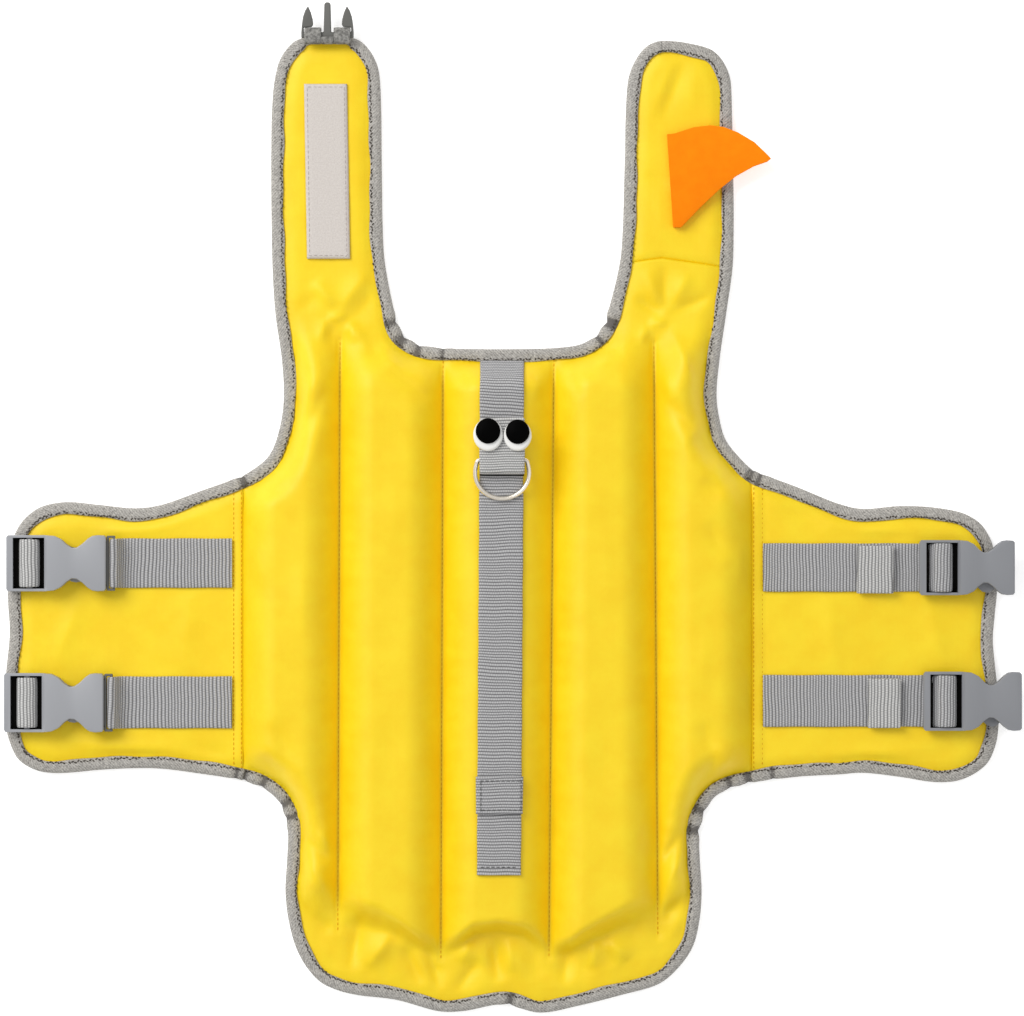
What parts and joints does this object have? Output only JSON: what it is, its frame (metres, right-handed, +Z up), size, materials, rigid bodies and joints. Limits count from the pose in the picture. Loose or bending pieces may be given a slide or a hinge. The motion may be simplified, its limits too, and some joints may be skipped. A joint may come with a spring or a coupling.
{
  "type": "dog life jacket",
  "caption": "Quilted buoyant jacket for a dog, laid out open: foam channels, neck straps, bound edge, buckled wing straps and a hinged leash ring.",
  "frame": {"origin": "on the underside, below the middle of the object's bounding box", "axes": "+X to the right of the spread jacket as pictured, +Y towards the neck straps, +Z up from the surface it lies on"},
  "size_m": [0.5084, 0.5052, 0.0315],
  "materials": {
    "shell_cloth": "coated Oxford weave, matt",
    "binding_tape": "folded knit tape, matt",
    "webbing": "ribbed polyester webbing",
    "ring_metal": "nickel-plated steel wire",
    "eye_white": "gloss",
    "eye_black": "gloss",
    "fin_foam": "matt foam felt",
    "loop_tape": "looped pile tape",
    "buckle_plastic": "moulded acetal, fine matt"
  },
  "bodies": {
    "jacket": {"body_panel": "shell_cloth", "left_wing": "shell_cloth", "right_wing": "shell_cloth", "right_strap_end": "shell_cloth", "binding_left_shoulder": "binding_tape", "binding_left_wing": "binding_tape", "binding_tail": "binding_tape", "binding_right_wing": "binding_tape", "binding_right_shoulder": "binding_tape", "binding_neck": "binding_tape", "spine_webbing": "webbing", "spine_end_patch": "webbing", "ring_loop": "webbing", "eye_left": "eye_white", "pupil_left": "eye_black", "eye_right": "eye_white", "pupil_right": "eye_black", "fin": "fin_foam", "loop_patch": "loop_tape", "neck_tab": "webbing", "neck_prongs": "buckle_plastic", "socket_left_upper": "buckle_plastic", "prongs_left_upper": "buckle_plastic", "strap_left_upper": "webbing", "roll_left_upper": "webbing", "socket_left_lower": "buckle_plastic", "prongs_left_lower": "buckle_plastic", "strap_left_lower": "webbing", "roll_left_lower": "webbing", "socket_right_upper": "buckle_plastic", "strap_right_upper": "webbing", "socket_right_lower": "buckle_plastic", "strap_right_lower": "webbing", "keeper_right_upper": "webbing", "keeper_right_lower": "webbing"},
    "ring": {"d_ring": "ring_metal"}
  },
  "joints": [
    {"name": "ring_swing", "type": "hinge", "parent": "jacket", "child": "ring", "pos_m": [-0.00494, 0.02385, 0.0233], "axis": [-1, 0, 0], "range_deg": [0, 110]}
  ]
}
